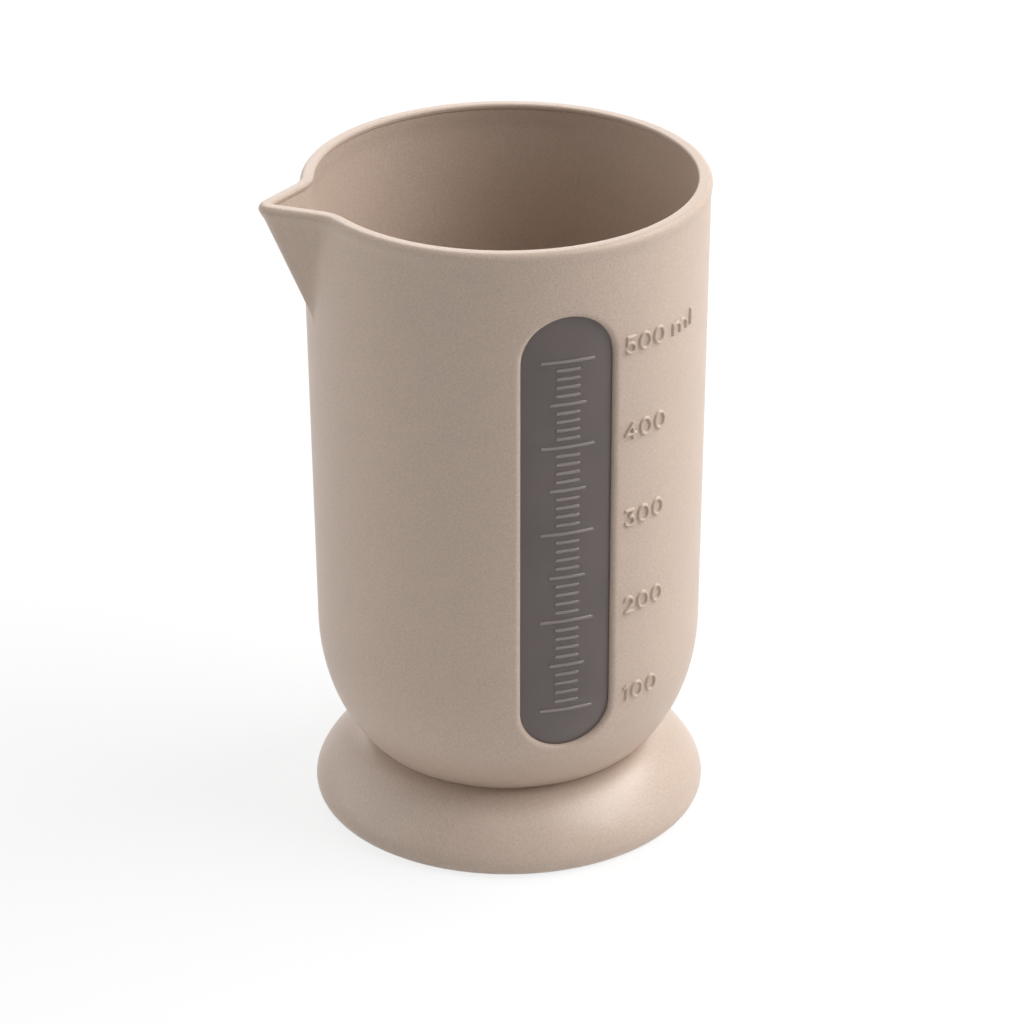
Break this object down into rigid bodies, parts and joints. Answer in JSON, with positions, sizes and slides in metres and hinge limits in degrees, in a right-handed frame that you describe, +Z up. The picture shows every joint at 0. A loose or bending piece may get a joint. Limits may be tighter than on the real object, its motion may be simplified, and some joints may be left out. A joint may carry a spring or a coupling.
{
  "type": "measuring jug",
  "caption": "Open measuring jug with a rolled rim, a pinched pouring spout, a graduated sight window down its front and a flared foot.",
  "frame": {"origin": "centre of the base, on the surface that the jug stands on", "axes": "+Z up, the sight window faces -Y, the spout points to -X"},
  "size_m": [0.0979, 0.0878, 0.1474],
  "materials": {
    "jug_plastic": "matt, fine grain",
    "foot_plastic": "matt, fine grain",
    "window_plastic": "satin smoky clear plastic"
  },
  "bodies": {
    "root": {"jug_body": "jug_plastic", "sight_window": "window_plastic", "foot": "foot_plastic"}
  },
  "joints": []
}
